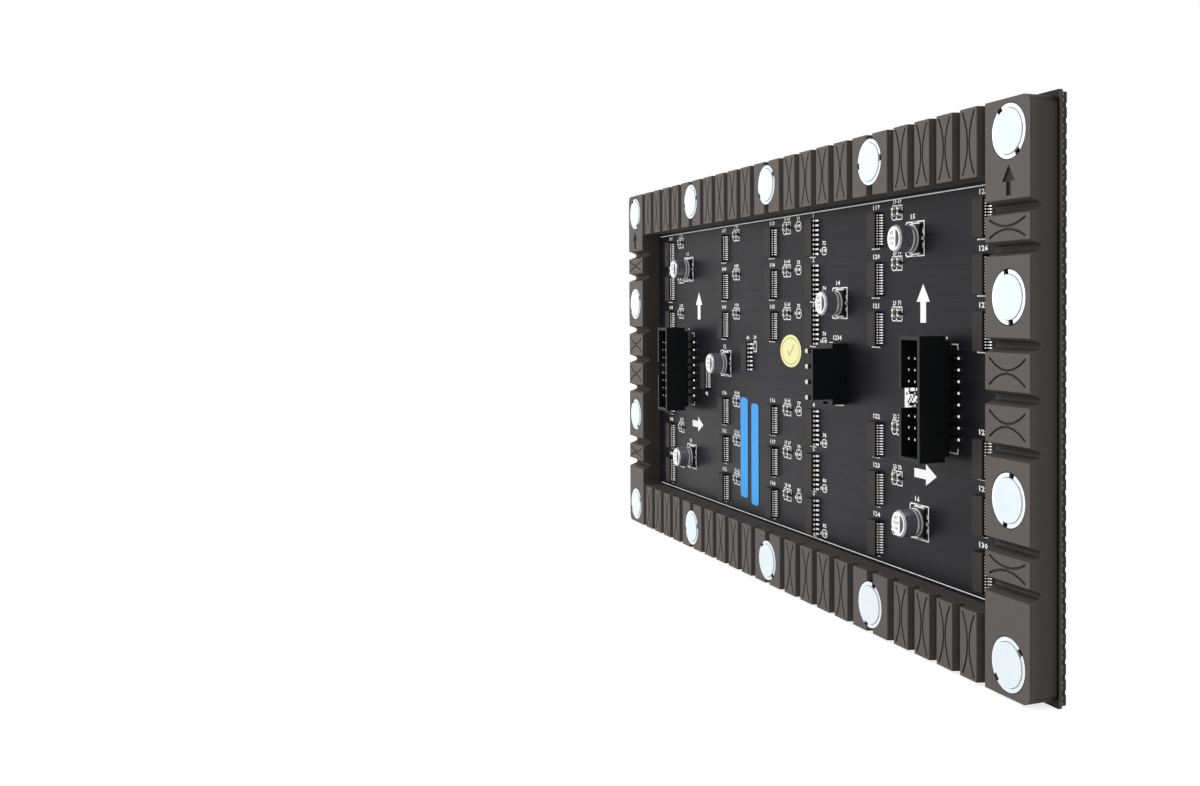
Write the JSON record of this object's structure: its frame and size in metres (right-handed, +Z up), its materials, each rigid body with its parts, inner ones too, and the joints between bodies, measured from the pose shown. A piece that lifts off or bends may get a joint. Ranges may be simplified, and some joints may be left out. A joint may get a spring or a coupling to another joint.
{
  "type": "flexible led display module",
  "caption": "Flexible LED display panel module: thin lamp board backed by a notched soft frame with round holding magnets, box headers and a power connector.",
  "frame": {"origin": "centre of the module on the plane of the magnet faces", "axes": "+X along the long side, +Y out of the back away from the lamps, +Z up as the arrows on the back show"},
  "size_m": [0.24, 0.0119, 0.12],
  "materials": {
    "silicone": "matt grey-black moulded silicone",
    "board": "matt black solder mask",
    "lamp_body": "black package with milky resin",
    "magnet_cup": "bright plated",
    "magnet_face": "bright plated, satin",
    "chip_body": "moulded black epoxy",
    "capacitor_ceramic": "brown ceramic with tinned ends",
    "resistor_body": "black glaze with tinned ends",
    "capacitor_can": "satin rolled can",
    "capacitor_base": "black",
    "connector_plastic": "black",
    "header_pin": "gold flashed",
    "power_pin": "tinned",
    "oval_label": "pale yellow",
    "strip_label": "bright blue"
  },
  "bodies": {
    "root": {"capacitor_bases_left": "capacitor_base", "capacitor_bases_right": "capacitor_base", "capacitor_cans_left": "capacitor_can", "capacitor_cans_right": "capacitor_can", "circuit_board": "board", "decoder_chip": "chip_body", "driver_chips_1_lower": "chip_body", "driver_chips_1_upper": "chip_body", "driver_chips_2_lower": "chip_body", "driver_chips_2_upper": "chip_body", "driver_chips_3_lower": "chip_body", "driver_chips_3_upper": "chip_body", "driver_chips_4_lower": "chip_body", "driver_chips_4_upper": "chip_body", "driver_chips_5_lower": "chip_body", "driver_chips_5_upper": "chip_body", "header_pins_left": "header_pin", "header_pins_right": "header_pin", "header_shroud_left": "connector_plastic", "header_shroud_right": "connector_plastic", "label_strip_left": "strip_label", "label_strip_right": "strip_label", "led_rows": "lamp_body", "logic_chip": "chip_body", "magnet_cups_lower_edge": "magnet_cup", "magnet_cups_sides": "magnet_cup", "magnet_cups_upper_edge": "magnet_cup", "magnet_discs_lower_edge": "magnet_face", "magnet_discs_sides": "magnet_face", "magnet_discs_upper_edge": "magnet_face", "oval_label": "oval_label", "power_housing": "connector_plastic", "power_pins": "power_pin", "row_chips_lower": "chip_body", "row_chips_upper": "chip_body", "rubber_frame": "silicone", "small_capacitors": "capacitor_ceramic", "small_resistors": "resistor_body"}
  },
  "joints": []
}
